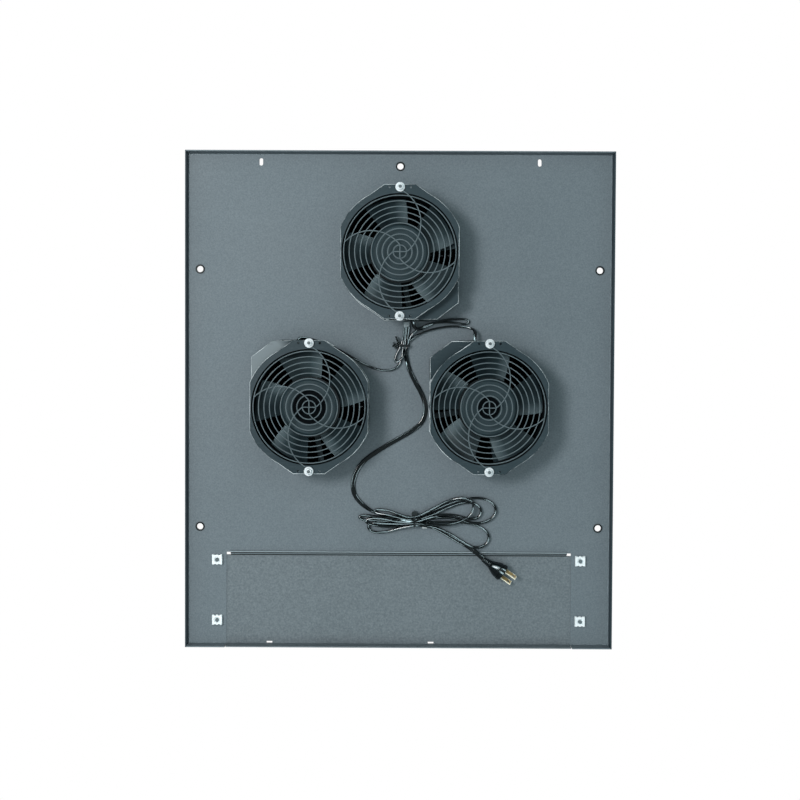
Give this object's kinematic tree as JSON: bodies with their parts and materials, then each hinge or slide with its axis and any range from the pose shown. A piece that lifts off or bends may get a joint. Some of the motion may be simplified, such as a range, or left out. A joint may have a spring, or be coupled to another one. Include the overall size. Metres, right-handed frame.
{
  "type": "rack fan tray",
  "caption": "Flat sheet-steel top for an equipment rack, with guarded axial fans on one face, a removable rear cable cover and a tied supply lead.",
  "frame": {"origin": "middle of the sheet in plan, on the plane of the cable cover's outer face, on which the part lies", "axes": "+X across the rack to the right, +Y towards the front rim, beside which the key slots lie, +Z out of the sheet towards the fans' guards"},
  "size_m": [0.554, 0.643, 0.0613],
  "materials": {
    "blue_steel": "blue-grey enamel, fine orange peel",
    "cover_steel": "blue-grey textured enamel",
    "zinc": "bright zinc plate",
    "spring_steel": "zinc-plated spring steel",
    "casting": "dark grey enamel on a die casting",
    "wire": "grey enamel on steel wire",
    "rotor": "dark grey enamel",
    "impeller": "dark grey enamel on sheet steel",
    "shaft": "ground steel",
    "core": "laminated steel and varnished copper",
    "disc": "plain foil disc",
    "black_plastic": "moulded plastic",
    "cord": "dark grey flexible vinyl",
    "splice": "grey sleeve",
    "white_plastic": "white nylon",
    "brass": "nickel-flashed brass"
  },
  "bodies": {
    "tray": {"bundle_tie": "black_plastic", "cable_cover_plate": "cover_steel", "cord_hank": "cord", "cover_nut_cages": "spring_steel", "cover_nuts": "zinc", "cover_screws": "zinc", "fan_frame_left": "casting", "fan_frame_right": "casting", "fan_frame_top": "casting", "fan_lead_left": "cord", "fan_lead_right": "cord", "fan_lead_top": "cord", "fan_nuts": "zinc", "fan_panel": "blue_steel", "fan_screws": "zinc", "finger_guard_left": "wire", "finger_guard_right": "wire", "finger_guard_top": "wire", "fixing_bushes": "black_plastic", "hank_tie": "black_plastic", "hank_tie_tab": "white_plastic", "lead_bundle": "cord", "lead_plug_left": "black_plastic", "lead_plug_right": "black_plastic", "lead_plug_top": "black_plastic", "lead_splice": "splice", "motor_bearings": "shaft", "motor_core_left": "core", "motor_core_right": "core", "motor_core_top": "core", "plug_blades": "brass", "plug_body": "black_plastic", "plug_strain_relief": "black_plastic", "supply_cord": "cord", "supply_cord_tail": "cord", "terminal_pins_left": "brass", "terminal_pins_right": "brass", "terminal_pins_top": "brass"},
    "top_rotor": {"impeller_top": "impeller", "motor_shaft_top": "shaft", "rotor_cup_top": "rotor"},
    "left_rotor": {"hub_disc_left": "disc", "impeller_left": "impeller", "motor_shaft_left": "shaft", "rotor_cup_left": "rotor"},
    "right_rotor": {"hub_disc_right": "disc", "impeller_right": "impeller", "motor_shaft_right": "shaft", "rotor_cup_right": "rotor"}
  },
  "joints": [
    {"name": "top_fan_spin", "type": "hinge", "parent": "tray", "child": "top_rotor", "pos_m": [0, 0.1885, 0.03], "axis": [0, 0, 1], "continuous": true},
    {"name": "left_fan_spin", "type": "hinge", "parent": "tray", "child": "left_rotor", "pos_m": [-0.114, -0.008, 0.03], "axis": [0, 0, 1], "continuous": true},
    {"name": "right_fan_spin", "type": "hinge", "parent": "tray", "child": "right_rotor", "pos_m": [0.114, -0.008, 0.03], "axis": [0, 0, 1], "continuous": true}
  ]
}
